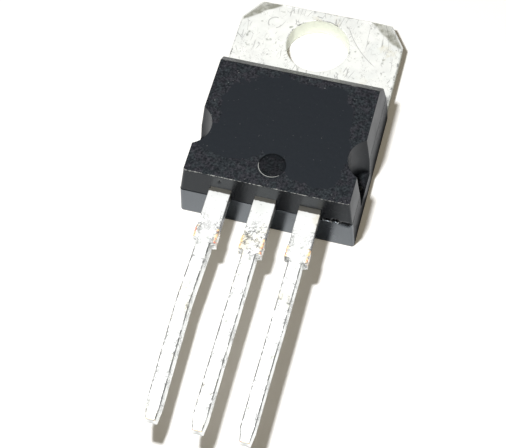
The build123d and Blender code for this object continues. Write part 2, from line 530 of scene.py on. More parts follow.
@cache
def arc_mark() -> bpy.types.NodeTree:
    """One curved scratch: the ring of a radius about a centre, kept on one side of it.

    Returns:
        A group that gives the mask of the scratch.
    """
    inputs = {"Vector": ORIGIN, "Centre": ORIGIN, "Toward": (1.0, 0.0, 0.0)}
    nodes, given = new_group("arc_mark", ("Mask",), **inputs, Radius=0.001, Width=0.00004, Reach=0.5)
    flat = nodes.vector("MULTIPLY", given["Vector"], (1.0, 1.0, 0.0))
    away = nodes.vector("SUBTRACT", flat, given["Centre"])
    length = nodes.vector("LENGTH", away)
    off = nodes.math("ABSOLUTE", nodes.math("SUBTRACT", length, given["Radius"]))
    speck = nodes.noise(given["Vector"], 5000.0, 2.0)
    width = nodes.times(given["Width"], nodes.plus(speck, 1.6, 0.2))
    aim = nodes.vector("DOT_PRODUCT", away, given["Toward"])
    cosine = nodes.math("DIVIDE", aim, nodes.math("MAXIMUM", length, 1e-6))
    return nodes.hand_out(Mask=nodes.broken_line(off, width, cosine, given["Reach"], 60.0))


def new_material(name: str) -> tuple[bpy.types.Material, Nodes, bpy.types.Node, Socket]:
    """An empty material with its shader and object coordinates.

    Args:
        name: The material's name.

    Returns:
        The material, its nodes, its shader and the socket of object coordinates.
    """
    material = bpy.data.materials.new(name)
    material.use_nodes = True
    material.node_tree.nodes.clear()
    nodes = Nodes(material.node_tree)
    shader = nodes.put("BsdfPrincipled")
    nodes.put("OutputMaterial", {"Surface": shader.outputs[0]})
    return material, nodes, shader, nodes.put("TexCoord").outputs["Object"]


@dataclass(frozen=True)
class ArcScratch:
    """One curved scratch on a flat face: centre, radius and width in millimetres.

    bearing is the direction from the centre to the scratch's middle and sweep its length,
    both in degrees.
    """

    x: float
    y: float
    radius: float
    bearing: float
    sweep: float
    width: float = 0.04

    def mask(self, nodes: Nodes, place: Socket) -> Socket:
        """Places the scratch in a material.

        Args:
            nodes: The material's nodes.
            place: Object coordinates.

        Returns:
            The mask's socket.
        """
        bearing = radians(self.bearing)
        return nodes.use(
            arc_mark(),
            Vector=place,
            Centre=(self.x * MM, self.y * MM, 0.0),
            Toward=(cos(bearing), sin(bearing), 0.0),
            Radius=self.radius * MM,
            Width=self.width * MM,
            Reach=cos(radians(self.sweep / 2)),
        )["Mask"]


@dataclass(frozen=True)
class MouldFinish:
    """Black moulding compound: a rough grained front, satin sides and greyed edges.

    Below the parting line the lead face is painted a lighter grey, standing for floor light that it reflects,
    and a warm grey painted reflection of the leads lies just over them. The edges are greyed partly by wear
    and partly by painted highlights, and recesses hold painted shade. Places are in millimetres. Each block
    of the quiet patch is the place of its middle and its two half widths.
    """

    name: str = "black_mould_compound"
    front: Colour = (0.001, 0.0015, 0.003, 1.0)
    front_light: Colour = (0.054, 0.058, 0.066, 1.0)
    patch: Colour = (0.0165, 0.0195, 0.024, 1.0)
    side: Colour = (0.0035, 0.0038, 0.005, 1.0)
    # Painted light: the lead face below the parting line takes this lighter grey, standing for floor light it
    # reflects.
    lower: Colour = (0.012, 0.0145, 0.018, 1.0)
    # Painted reflection of the leads, on the lead face just over them.
    painted_lead_reflection: Colour = (0.19, 0.182, 0.16, 1.0)
    fleck: Colour = (0.085, 0.09, 0.095, 1.0)
    speck: Colour = (0.50, 0.50, 0.49, 1.0)
    green_cast: Colour = (0.93, 1.02, 0.99, 1.0)
    pink_cast: Colour = (1.07, 0.98, 1.01, 1.0)
    # Light grey of worn edges; on the moulding it also paints highlights and glints.
    worn: Colour = (0.60, 0.60, 0.57, 1.0)
    # Painted shade: near black for recesses.
    hollow_shade: Colour = (0.003, 0.003, 0.003, 1.0)
    parting: float = 2.55
    lead_face_y: float = -12.33
    lead_pitch: float = 2.54
    lead_half: float = 0.60
    lead_front: float = 3.25
    quiet: tuple[tuple[float, float, float, float], ...] = (
        (0.05, -7.55, 3.85, 2.75),
        (2.2, -9.2, 1.75, 2.6),
        (-2.6, -9.9, 1.95, 1.1),
    )
    grain: float = 8200.0

    def quiet_patch(self, nodes: Nodes, place: Socket) -> Socket:
        """The smoother middle of the front: rounded blocks with a ragged border.

        Args:
            nodes: The material's nodes.
            place: Object coordinates.

        Returns:
            The mask's socket, 1 inside.
        """
        nearest = 9.0
        for x, y, half_x, half_y in self.quiet:
            moved = nodes.vector("SUBTRACT", place, (x * MM, y * MM, 0.0))
            scaled = nodes.vector("MULTIPLY", moved, (1 / (half_x * MM), 1 / (half_y * MM), 0.0))
            shares = [nodes.math("ABSOLUTE", part) for part in nodes.parts(scaled)[:2]]
            raised = [nodes.math("POWER", share, 3.0) for share in shares]
            nearest = nodes.math("MINIMUM", nodes.math("ADD", *raised), nearest)
        distance = nodes.plus(nodes.noise(place, 650.0, 5.0, 0.62), 2.4, nearest)
        return nodes.ease(distance, 2.05, 2.15, (1.0, 0.0))

    def lead_reflection_strip(self, nodes: Nodes, place: Socket, end: Socket) -> Socket:
        """The painted reflection of the leads: a warm grey strip of the lead face just over each lead.

        Args:
            nodes: The material's nodes.
            place: Object coordinates.
            end: The mask of the lead face.

        Returns:
            The mask's socket, 1 there.
        """
        across, _, up = nodes.parts(place)
        pitch, top = self.lead_pitch * MM, self.lead_front
        off = nodes.math("ABSOLUTE", nodes.math("WRAP", across, pitch / 2, -pitch / 2))
        near = nodes.math("LESS_THAN", off, self.lead_half * MM)
        inner = nodes.math("LESS_THAN", nodes.math("ABSOLUTE", across), 1.4 * pitch)
        low = nodes.math("GREATER_THAN", up, (top - 0.05) * MM)
        fade = nodes.ease(up, (top + 0.10) * MM, (top + 0.24) * MM, (1.0, 0.0))
        return nodes.times(fade, near, inner, end, low)

    def build(self) -> bpy.types.Material:
        """Makes the material.

        Returns:
            The finished material.
        """
        material, nodes, shader, place = new_material(self.name)
        rough, edge, hollow_shade = (nodes.mark(mark) for mark in (Mark.ROUGH, Mark.EDGE, Mark.HOLLOW_SHADE))
        grain = nodes.use(fine_grain(), Vector=place, Scale=self.grain, Coverage=0.58)
        specks = nodes.use(fine_grain(), Vector=place, Scale=4600.0, Coverage=0.34)
        _, along, up = nodes.parts(place)
        end = nodes.math("LESS_THAN", along, self.lead_face_y * MM)
        lower = nodes.times(nodes.math("LESS_THAN", up, self.parting * MM), end)
        busy = nodes.plus(self.quiet_patch(nodes, place), -0.94, 1.0)
        grainy = nodes.times(rough, busy)

        mottled = nodes.mix(nodes.ease(grain["Height"], 0.32, 0.72), self.front, self.front_light)
        flecked = nodes.mix(nodes.times(grain["Flecks"], 0.8), mottled, self.fleck)
        hue = nodes.ease(nodes.noise(place, 2600.0, 2.0), 0.4, 0.6)
        cast = nodes.mix(hue, self.green_cast, self.pink_cast)
        front = nodes.mix(busy, self.patch, nodes.mix(1.0, flecked, cast, "MULTIPLY"))
        # Painted light: below the parting line the lead face turns a lighter, mottled grey.
        painted_lower_light = nodes.times(lower, nodes.ease(nodes.noise(place, 900.0, 4.0), 0.3, 0.7, (0.7, 1.0)))
        wall = nodes.mix(painted_lower_light, self.side, self.lower)
        # Painted reflection of the leads on the lead face over them.
        wall = nodes.mix(self.lead_reflection_strip(nodes, place, end), wall, self.painted_lead_reflection)
        ground = nodes.mix(rough, wall, front)
        dust = nodes.times(specks["Flecks"], nodes.plus(grainy, 0.7, 0.12))
        dusted = nodes.mix(dust, ground, self.speck)
        # Edges turn light grey, partly as wear and partly as painted highlights and glints.
        wear = nodes.use(edge_wear_and_highlight(), Vector=place, Edge=edge, Scale=4200.0, Amount=0.9)
        worn = nodes.mix(wear["Mask"], dusted, self.worn)

        smooth = nodes.ease(nodes.noise(place, 420.0, 3.0), 0.3, 0.7, (0.30, 0.38))
        matt = nodes.ease(grain["Height"], 0.3, 0.7, (0.62, 0.85))
        shine = nodes.between(rough, nodes.plus(lower, 0.66, nodes.plus(end, 0.03, 0.155)), 0.10)
        height = nodes.times(grain["Height"], nodes.plus(grainy, 0.92, 0.08))
        # Painted shade: recesses turn near black and lose most of their reflection.
        shown = {
            "Base Color": nodes.mix(hollow_shade, worn, self.hollow_shade),
            "Roughness": nodes.between(rough, nodes.plus(end, -0.09, smooth), matt),
            "Specular IOR Level": nodes.times(shine, nodes.plus(hollow_shade, -0.9, 1.0)),
            "Specular Tint": (0.84, 0.93, 1.0, 1.0),
            "Normal": nodes.bump(0.6, 0.00006, height),
            "IOR": 1.80,
        }
        nodes.wire(shader, shown)
        return material


@dataclass(frozen=True)
class TinFinish:
    """Dull tin plating on copper, with scratches, crazing and bare copper where it was sheared, and painted
    shade on the tab's pressed corners and bore and on the leads' shoulder sides.
    """

    name: str
    ground: Colour = (0.87, 0.875, 0.865, 1.0)
    tarnish: Colour = (0.78, 0.80, 0.77, 1.0)
    stain: Colour = (0.76, 0.72, 0.58, 1.0)
    side: Colour = (0.96, 0.97, 0.94, 1.0)
    scratch: Colour = (0.16, 0.16, 0.16, 1.0)
    speck: Colour = (0.34, 0.36, 0.31, 1.0)
    # Painted shade on the tab's pressed corners and on one side of its bore.
    pressed: Colour = (0.42, 0.42, 0.355, 1.0)
    bore: Colour = (0.87, 0.885, 0.80, 1.0)
    copper: Colour = (0.97, 0.82, 0.54, 1.0)
    red_copper: Colour = (0.86, 0.42, 0.33, 1.0)
    # Dark compound film near the body, also painted as shade on the leads' shoulder sides.
    film: Colour = (0.078, 0.074, 0.063, 1.0)
    side_gloss: float = -0.45
    stain_from: float = 0.60
    edge_amount: float = 0.6
    scratch_amount: float = 0.4
    scratch_coverage: float = 0.3
    speck_amount: float = 0.6
    speck_coverage: float = 0.42
    arcs: tuple[ArcScratch, ...] = field(default=())

    def scratches(self, nodes: Nodes, place: Socket) -> Socket:
        """Straight scratches in three directions, curly ones, and the arcs.

        Args:
            nodes: The material's nodes.
            place: Object coordinates.

        Returns:
            The mask's socket.
        """
        dark, coverage = 0.0, self.scratch_coverage
        for angle, stretch in ((0.6, 0.26), (-0.9, 0.3), (2.2, 0.36)):
            wires = {"Vector": place, "Rotation": (0.0, 0.0, angle), "Scale": (1.0, stretch, 1.0)}
            turned = nodes.put("Mapping", wires).outputs[0]
            sizes = {"Scale": 1700.0, "Width": 0.030, "Bend": 0.00010, "Coverage": coverage}
            dark = nodes.math("MAXIMUM", nodes.use(fine_lines(), Vector=turned, **sizes)["Mask"], dark)
        for scale, width in ((1900.0, 0.013), (3700.0, 0.016)):
            curls = nodes.use(scribbles(), Vector=place, Scale=scale, Width=width, Coverage=coverage)
            dark = nodes.math("MAXIMUM", curls["Mask"], dark)
        dark = nodes.times(dark, self.scratch_amount)
        for arc in self.arcs:
            dark = nodes.math("MAXIMUM", dark, nodes.times(arc.mask(nodes, place), 0.45))
        return dark

    def build(self) -> bpy.types.Material:
        """Makes the material.

        Returns:
            The finished material.
        """
        material, nodes, shader, place = new_material(self.name)
        marks = (Mark.EDGE, Mark.SHEARED, Mark.WORN, Mark.BARE, Mark.FILM_AND_SHADE, Mark.PAINTED_SHADE, Mark.BORE)
        edge, side, worn, bare, film, pressed, bore = (nodes.mark(mark) for mark in marks)
        grain = nodes.use(fine_grain(), Vector=place, Scale=1500.0, Coverage=self.speck_coverage)

        clouds = nodes.ease(nodes.noise(place, 520.0, 4.0, 0.6), 0.42, 0.72, (0.0, 0.5))
        ground = nodes.mix(clouds, self.ground, self.tarnish)
        blots = nodes.noise(place, 430.0, 5.0, 0.7)
        stained = nodes.ease(blots, self.stain_from, self.stain_from + 0.14, (0.0, 0.55))
        ground = nodes.mix(stained, ground, self.stain)
        ground = nodes.mix(nodes.times(grain["Flecks"], self.speck_amount), ground, self.speck)
        ground = nodes.mix(bore, nodes.mix(side, ground, self.side), self.bore)
        # Painted shade, mottled, on the pressed corners and on one side of the bore.
        mottle = nodes.ease(nodes.noise(place, 1500.0, 5.0, 0.7), 0.38, 0.58, (0.55, 1.0))
        ground = nodes.mix(nodes.times(pressed, mottle), ground, self.pressed)

        crazing = 0.0
        for scale, width in ((1500.0, 0.030), (2500.0, 0.040), (3900.0, 0.05)):
            curls = nodes.use(scribbles(), Vector=place, Scale=scale, Width=width, Coverage=0.62)
            crazing = nodes.math("MAXIMUM", curls["Mask"], crazing)
        wear = nodes.use(edge_wear_and_highlight(), Vector=place, Edge=edge, Scale=2600.0, Amount=self.edge_amount)
        dark = nodes.math("MAXIMUM", self.scratches(nodes, place), nodes.times(crazing, worn))
        dark = nodes.times(dark, nodes.math("SUBTRACT", 1.0, bore))
        dark = nodes.math("MAXIMUM", dark, wear["Mask"])
        lined = nodes.mix(dark, ground, self.scratch)
        bared = nodes.ease(nodes.plus(nodes.noise(place, 5200.0, 3.0, 0.7), 1.1, bare), 1.0, 1.2)
        redder = nodes.ease(nodes.noise(place, 7000.0, 2.0), 0.50, 0.62)
        coppered = nodes.mix(bared, lined, nodes.mix(redder, self.copper, self.red_copper))

        rough = nodes.ease(nodes.noise(place, 900.0, 5.0, 0.65), 0.3, 0.7, (0.66, 0.76))
        # The film mask also carries painted shade on the leads' shoulder sides.
        shown = {
            "Base Color": nodes.mix(film, coppered, self.film),
            "Roughness": nodes.plus(dark, 0.2, nodes.plus(side, self.side_gloss, rough)),
            "Metallic": nodes.math("SUBTRACT", 1.0, film),
            "Normal": nodes.bump(0.25, 0.00003, nodes.plus(dark, -0.9, grain["Height"])),
        }
        nodes.wire(shader, shown)
        return material


@dataclass(frozen=True)
class InnerFinish:
    """Metal of a piece sealed inside the moulding: two tones clouded together and a fine grain."""

    name: str
    light: Colour
    dark: Colour
    gloss: tuple[float, float]
    grain: float

    def build(self) -> bpy.types.Material:
        """Makes the material.

        Returns:
            The finished material.
        """
        material, nodes, shader, place = new_material(self.name)
        height = nodes.use(fine_grain(), Vector=place, Scale=self.grain, Coverage=0.4)["Height"]
        cloud = nodes.ease(nodes.noise(place, 1400.0, 3.0), 0.35, 0.65)
        shown = {
            "Base Color": nodes.mix(cloud, self.light, self.dark),
            "Roughness": nodes.ease(height, 0.3, 0.7, self.gloss),
            "Metallic": 1.0,
            "Normal": nodes.bump(0.2, 0.00001, height),
        }
        nodes.wire(shader, shown)
        return material


# The pieces


@dataclass(frozen=True)
class Package:
    """Sizes that several pieces share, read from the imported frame, in millimetres."""

    base_half_width: float
    body_lead_y: float
    body_tab_y: float
    body_height: float
    tab_half_width: float
    tab_end_y: float
    tab_thickness: float
    lead_pitch: float
    lead_back: float
    lead_front: float
    lead_tip_y: float
    post_end_y: float
    post_half_width: float

    @classmethod
    def from_frame(cls) -> "Package":
        """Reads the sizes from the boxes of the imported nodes.

        Returns:
            The shared sizes.
        """
        nodes = ("mould_body", "heat_tab", "output_lead", "chip_solder")
        body, tab, lead, solder = (np.array(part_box(node)) / MM for node in nodes)
        return cls(
            base_half_width=body[1][0],
            body_lead_y=body[0][1],
            body_tab_y=body[1][1],
            body_height=body[1][2],
            tab_half_width=tab[1][0],
            tab_end_y=tab[1][1],
            tab_thickness=solder[0][2],
            lead_pitch=(lead[0][0] + lead[1][0]) / 2,
            lead_back=lead[0][2],
            lead_front=lead[1][2],
            lead_tip_y=tab[0][1],
            post_end_y=lead[1][1],
            post_half_width=(lead[1][0] - lead[0][0]) / 2,
        )


@dataclass
class MouldBody:
    """The moulding around the chip: drafted sides, bevel, side notches and ejector mark.

    It starts as a plain block whose six faces share one lattice. The edges are rounded on the
    block, and the block is then bent to the moulding. Each of the pits in the lead face is its
    place across and up, its two half widths and its depth. One pair of numbers gives the place,
    across and along, of the painted glint, a light fleck standing for a highlight, on the notch floors.
    """

    package: Package
    header_half_width: float
    header_end_y: float
    name: str = "moulding"
    parting_step: float = 0.04
    side_step: float = 0.008
    end_step: float = 0.03
    base_side_draft: float = 4.0
    front_side_draft: float = 6.9
    base_end_draft: float = 3.6
    front_end_draft: float = 4.8
    tab_end_draft: float = 13.0
    bevel: float = 0.80
    edge_radius: float = 0.045
    lead_corner_radius: float = 0.18
    tab_corner_radius: float = 0.08
    notch_radius: float = 1.40
    notch_depth: float = 0.76
    notch_to_lead_end: float = 3.27
    notch_taper: float = 4.0
    notch_lip: float = 0.012
    floor_rise: float = 0.06
    floor_sag: float = 0.055
    floor_clearance: float = 0.008
    pocket_depth: float = 0.30
    block_half_width: float = 5.0
    block_bands: tuple[float, float, float, float] = (0.0, 2.05, 4.45, 9.3)
    ejector_radius: float = 0.75
    ejector_depth: float = 0.08
    ejector_to_lead_end: float = 1.65
    ejector_burr: float = 0.016
    ejector_window: tuple[float, float] = (1.35, 1.15)
    front_sink: float = 0.018
    glint_place: tuple[float, float] = (4.8, -9.27)
    pitch: float = 0.08
    relief: float = 0.006
    pits: tuple[tuple[float, float, float, float, float], ...] = (
        (4.56, 2.55, 0.36, 0.15, 0.20),
        (3.99, 2.66, 0.28, 0.13, 0.13),
        (3.53, 2.64, 0.22, 0.09, 0.08),
        (-2.63, 4.03, 0.09, 0.09, 0.08),
    )

    def __post_init__(self) -> None:
        """Works out the places that follow from the sizes."""
        package = self.package
        self.parting = package.lead_back
        self.height = package.body_height
        self.half_parting = package.base_half_width - self.parting * tan(radians(self.base_side_draft))
        drop = (self.height - self.parting) * tan(radians(self.front_side_draft))
        self.half_front = self.half_parting - self.parting_step - drop
        self.notch_x = self.half_front - self.notch_depth + self.notch_radius
        self.notch_y = package.body_lead_y + self.notch_to_lead_end
        self.bevel_foot = self.height - self.bevel
        self.ejector_y = package.body_lead_y + self.ejector_to_lead_end
        self.above_parting = self.parting + 0.004
        self.levels = (0.0, self.parting, self.above_parting, self.height)

    def half_width(self, z: Array) -> Array:
        """Half the width at height z: straight drafts below and above the parting step."""
        above = self.half_parting - self.side_step
        widths = (self.package.base_half_width, self.half_parting, above, self.half_front)
        return np.interp(z, self.levels, widths)

    def lead_face(self, z: Array) -> Array:
        """Place of the face with the leads at height z, drafted both ways from the parting."""
        end = self.package.body_lead_y
        base = end + self.parting * tan(radians(self.base_end_draft))
        front = end + self.parting_step + (self.height - self.parting) * tan(radians(self.front_end_draft))
        return np.interp(z, self.levels, (base, end, end + self.end_step, front))

    def tab_face(self, z: Array) -> Array:
        """Place of the face over the tab at height z: a draft, then the bevel."""
        end, ledge = self.package.body_tab_y, self.package.tab_thickness
        foot = end - (self.bevel_foot - ledge) * tan(radians(self.tab_end_draft))
        return np.interp(z, (0.0, ledge, self.bevel_foot, self.height), (end, end, foot, foot - self.bevel))

    def notch_shape(self, z: Array) -> tuple[Array, Array]:
        """Radius of the notch cone at height z, and half the width of its mouth.

        Args:
            z: Heights.

        Returns:
            The radius, which grows to the front with the taper, and the half mouth, where
            the cone meets the side wall.
        """
        near = np.maximum(z, self.package.tab_thickness + self.floor_rise)
        radius = self.notch_radius - (self.height - near) * tan(radians(self.notch_taper))
        return radius, np.sqrt(radius**2 - (self.notch_x - self.half_width(near)) ** 2)

    def bend(self, x: Array, y: Array, z: Array) -> Array:
        """Bends the block to the moulding.

        Across, a point keeps its share of the half width, which is the smaller of the side
        wall and the notch cone. Along, the block's three bands stretch between the faces and
        the notch's mouth. Below the notch floor the cone has no effect.

        Args:
            x: Place across the block.
            y: Place along the block from its lead end.
            z: Height.

        Returns:
            The points, one row of three each.
        """
        ledge = self.package.tab_thickness
        side = self.half_width(z)
        radius, mouth = self.notch_shape(z)
        share = np.interp(y, self.block_bands, (0.0, 1.0, 2.0, 3.0))
        low, high = self.lead_face(z), self.tab_face(z)
        place = (
            low
            + (self.notch_y - mouth - low) * np.clip(share, 0.0, 1.0)
            + 2 * mouth * np.clip(share - 1.0, 0.0, 1.0)
            + (high - self.notch_y - mouth) * np.clip(share - 2.0, 0.0, 1.0)
        )
        reach = np.maximum(radius**2 - (place - self.notch_y) ** 2, 0.0)
        cone = self.notch_x - np.sqrt(reach)
        inward = ramp(z, ledge, ledge + self.floor_rise)
        half = side + inward * (soft_minimum(side, cone, self.notch_lip) - side)
        return np.stack([x / self.block_half_width * half, place, z], axis=-1)

    def round_edges(self, x: Array, y: Array, z: Array) -> tuple[Array, Array, Array, Array]:
        """Rounds the block's edges.

        The rim of the front and of the back is rounded first, by depth below the rim's two
        faces, with each level drawn in about the block's middle. Then each upright edge is
        rounded in plan.

        Args:
            x: Place across the block.
            y: Place along the block.
            z: Height.

        Returns:
            The rounded x, y and z, and the mask of the front's rim over the leads.
        """
        half, length = self.block_half_width, self.block_bands[-1]
        inward = np.minimum(np.minimum(half - np.abs(x), y), length - y)
        top_in, top_down = round_square(inward, self.height - z, self.edge_radius)
        low_in, low_up = round_square(inward, z, self.edge_radius)
        upper = z > self.height / 2
        depth = np.where(upper, top_in, low_in)
        tall = np.where(upper, self.height - top_down, low_up)
        wide = x * (half - depth) / (half - inward)
        long = length / 2 + (y - length / 2) * (length / 2 - depth) / (length / 2 - inward)
        rim = 1.0 - ramp(np.hypot(y, self.height - z), 0.02, 0.07)
        for radius in (self.lead_corner_radius, self.tab_corner_radius):
            side_depth, end_depth = round_square(half - np.abs(wide), long, radius)
            wide = np.sign(wide) * (half - side_depth)
            # Turned end for end, so that the second round meets the tab end
            long = length - end_depth
        return wide, long, tall, rim

    def finish_points(self, points: Array) -> tuple[Array, Array, Array]:
        """Adds the header's pocket, what the tool left (grain, sagging notch floors and voids), and painted
        shade and glints.

        The back is raised inside the header's outline, where the metal shows. The front gets
        a fine ripple that dies out at its rim. The notch floors sag in ripples, clear of the
        header under them. Small voids are pressed into the lead face, each deep at its middle
        and zero at its border. The voids and the notch floors hold painted shade, and the voids' rims
        and one spot on each notch floor hold painted glints.

        Args:
            points: Points of one face.

        Returns:
            The finished points, the mask of painted shade in the voids and floors, and that of their painted
            glints.
        """
        x, y, z = points[..., 0], points[..., 1], points[..., 2]
        tiny = 0.0006
        pocket = (np.abs(x) < self.header_half_width - tiny) & (y > self.header_end_y + tiny)
        z = np.where(pocket, np.maximum(z, self.pocket_depth), z)
        front = ramp(z, self.height - 0.02, self.height - 0.001)
        wave = ripple(x, y, 0.16, 3) + 0.6 * ripple(x, y, 0.45, 4)
        z = z + (self.relief * wave - self.front_sink) * front
        ledge = self.package.tab_thickness
        inward = self.half_width(z) - np.abs(x)
        between = (y > self.package.body_lead_y + 1) & (y < self.package.body_tab_y - 1)
        sunk = between & (inward > 0.05) & (z > ledge - tiny) & (z < ledge + self.floor_rise + tiny)
        depth = self.floor_sag * (0.35 + ripple(x, y, 0.13, 9)) * ramp(inward, 0.05, 0.2)
        z = np.where(sunk, np.maximum(z - depth, ledge + self.floor_clearance), z)
        on_lead_face = y < self.lead_face(z) + 0.02
        # Painted shade darkens the notch floors, and a painted glint lights one spot of each.
        hollow_shade = 0.35 * sunk
        from_glint = np.hypot(np.abs(x) - self.glint_place[0], y - self.glint_place[1])
        painted_glint = 1.4 * sunk * (1.0 - ramp(from_glint, 0.08, 0.22))
        # Each void holds painted shade, with a painted glint round its rim.
        for centre_x, centre_z, half_x, half_z, deep in self.pits:
            ring = 1.0 - ((x - centre_x) / half_x) ** 2 - ((z - centre_z) / half_z) ** 2
            ring = np.where(on_lead_face, ring + 0.35 * ripple(x, z, 0.09, 15), -9.0)
            y = y + deep * np.sqrt(np.maximum(ring, 0.0))
            hollow_shade = np.maximum(hollow_shade, ramp(ring, 0.0, 0.25))
            painted_glint = np.maximum(painted_glint, np.exp(-((ring + 0.25) ** 2) / 0.06))
        return np.stack([x, y, z], axis=-1), hollow_shade, painted_glint

    def lattice(self) -> tuple[Array, Array, Array]:
        """Sample positions across, along and up the block.

        Returns:
            The three rising arrays. They crowd at the rounded edges, and hit the header's
            outline, the notch floor, the parting and the foot of the bevel.
        """
        half, pitch = self.block_half_width, self.pitch
        edge, corner = self.edge_radius, self.lead_corner_radius
        outline = self.header_half_width / self.package.base_half_width * half
        right = stops(
            (0.0, outline - 0.002, outline, half - corner, half - edge, half),
            (pitch, pitch, pitch, corner / 3, edge / 4),
        )
        across = np.concatenate([-right[:0:-1], right])
        start, low, high, length = self.block_bands
        mouth = float(self.notch_shape(np.array(0.0))[1])
        header = low + (high - low) * (0.5 + (self.header_end_y - self.notch_y) / (2 * mouth))
        fine = (0.03, 0.03)
        along = stops(
            (start, edge, corner, low - 0.15, low, low + 0.15, header, header + 0.002, high - 0.15, high,
             high + 0.15, length - self.tab_corner_radius - 0.02, length - edge, length),
            (edge / 4, corner / 3, pitch, *fine, pitch, pitch, pitch, *fine, pitch, edge / 3, edge / 4),
        )
        ledge = self.package.tab_thickness
        up = stops(
            (0.0, edge, ledge, ledge + self.floor_rise, self.parting - 0.12, self.parting, self.above_parting,
             self.parting + 0.12, self.bevel_foot, self.height - edge, self.height),
            (edge / 3, 0.15, self.floor_rise / 12, 0.12, 0.03, 0.004, 0.03, 0.12, 0.12, edge / 4),
        )
        return across, along, up

    def face(self, x: Array, y: Array, z: Array) -> tuple[Array, Masks]:
        """One face of the block, rounded, bent and finished.

        Args:
            x: Places across, on the face's grid.
            y: Places along.
            z: Heights.

        Returns:
            The points, and the masks that go with them.
        """
        x, y, z = np.broadcast_arrays(x, y, z)
        wide, long, tall, rim = self.round_edges(x, y, z)
        points, hollow_shade, painted_glint = self.finish_points(self.bend(wide, long, tall))
        off_bevel = ramp(self.tab_face(tall) - points[..., 1], 0.0, 0.05)
        bevel = (1.0 - off_bevel) * ramp(tall, self.bevel_foot - 0.02, self.bevel_foot + 0.02)
        rough = ramp(tall, self.height - 0.04, self.height - 0.01) * off_bevel
        rough = np.maximum(rough, (hollow_shade > 0.3) * (tall < 0.5 * self.height))
        # The edge mask greys the front's rim over the leads, partly as wear and partly as a painted
        # highlight, greys the bevel lightly, and carries the painted glints.
        edge = np.maximum(np.maximum(0.62 * rim, 0.22 * bevel), 0.62 * painted_glint)
        return points, {Mark.EDGE: edge, Mark.ROUGH: rough, Mark.HOLLOW_SHADE: hollow_shade}

    def ejector_ring(self, border: Array) -> tuple[Array, Masks]:
        """The round ejector mark inside a square border of the front.

        Each ring blends the border into the circle seen from the mark's middle, then goes
        over a low burr, down the wall and in to the middle of the slightly domed floor.

        Args:
            border: Points of the square border, in order.

        Returns:
            The points of the rings, and their masks.
        """
        centre = np.array([0.0, self.ejector_y, self.height])
        out = border[:, :2] - centre[:2]
        unit = out / np.linalg.norm(out, axis=1)[:, None]
        radius, depth, burr = self.ejector_radius, self.ejector_depth, self.ejector_burr
        outer, level = radius + 0.05, self.height - self.front_sink
        profile = [(outer - 0.018, 0.4 * burr), (outer - 0.030, burr), (radius, 0.8 * burr)]
        profile += [(radius - 0.010, -0.02), (radius - 0.016, 0.05 - depth), (radius - 0.03, -depth)]
        profile += [(radius * share, 0.012 * (1 - share) - depth) for share in np.linspace(0.9, 0.0, 10)]
        circle = np.column_stack([centre[:2] + unit * outer, np.full(len(unit), level)])
        rows = [border * (1 - share) + circle * share for share in stops((0.0, 0.9, 1.0), (0.1, 0.05))]
        burr_start = len(rows) - 1
        for ring, rise in profile:
            rows.append(np.column_stack([centre[:2] + unit * ring, np.full(len(unit), level + rise)]))
        points = np.stack(rows)
        # Painted highlight on the burr's side toward the lamp; painted shade on its far side and over the
        # mark's floor.
        toward_lamp = ramp(-0.42 * unit[:, 0] - 0.91 * unit[:, 1], 0.15, 0.75)
        edge, hollow_shade = np.zeros((2, *points.shape[:2]))
        edge[burr_start + 2 : burr_start + 4] = 1.5 * toward_lamp
        hollow_shade[burr_start + 2 : burr_start + 6] = 0.5 * (1.0 - toward_lamp)
        hollow_shade[burr_start + 6 :] = 0.5
        return points, {Mark.ROUGH: np.ones(points.shape[:2]), Mark.EDGE: edge, Mark.HOLLOW_SHADE: hollow_shade}

    def build(self, material: bpy.types.Material) -> bpy.types.Object:
        """Makes the moulding from the six faces of the block and the ejector mark.

        Args:
            material: Its finish.

        Returns:
            The finished piece.
        """
        across, along, up = self.lattice()
        skin = Skin(self.name)
        half, length = self.block_half_width, self.block_bands[-1]
        points, marks = self.face(across[None, :], along[:, None], self.height)
        middle = len(across) // 2
        window_x, window_y = self.ejector_window
        reach = int(np.searchsorted(across[middle:], window_x))
        left, right = middle - reach, middle + reach
        rows = points[:, middle, 1]
        first = int(np.searchsorted(rows, self.ejector_y - window_y))
        last = int(np.searchsorted(rows, self.ejector_y + window_y))
        keep = np.ones((len(along) - 1, len(across) - 1), dtype=bool)
        keep[first:last, left:right] = False
        skin.add(points, marks, keep=keep)
        near, far = points[first, left:right], points[last, right:left:-1]
        border = np.concatenate([near, points[first:last, right], far, points[last:first:-1, left]])
        skin.add(*self.ejector_ring(border), wrap=True)
        for x, y, z in (
            (across[None, :], along[:, None], 0.0),
            (-half, along[None, :], up[:, None]),
            (half, along[None, :], up[:, None]),
            (across[None, :], 0.0, up[:, None]),
            (across[None, :], length, up[:, None]),
        ):
            skin.add(*self.face(np.asarray(x), np.asarray(y), np.asarray(z)))
        return skin.write(material, Slot.MOULD, ["mould_body"])


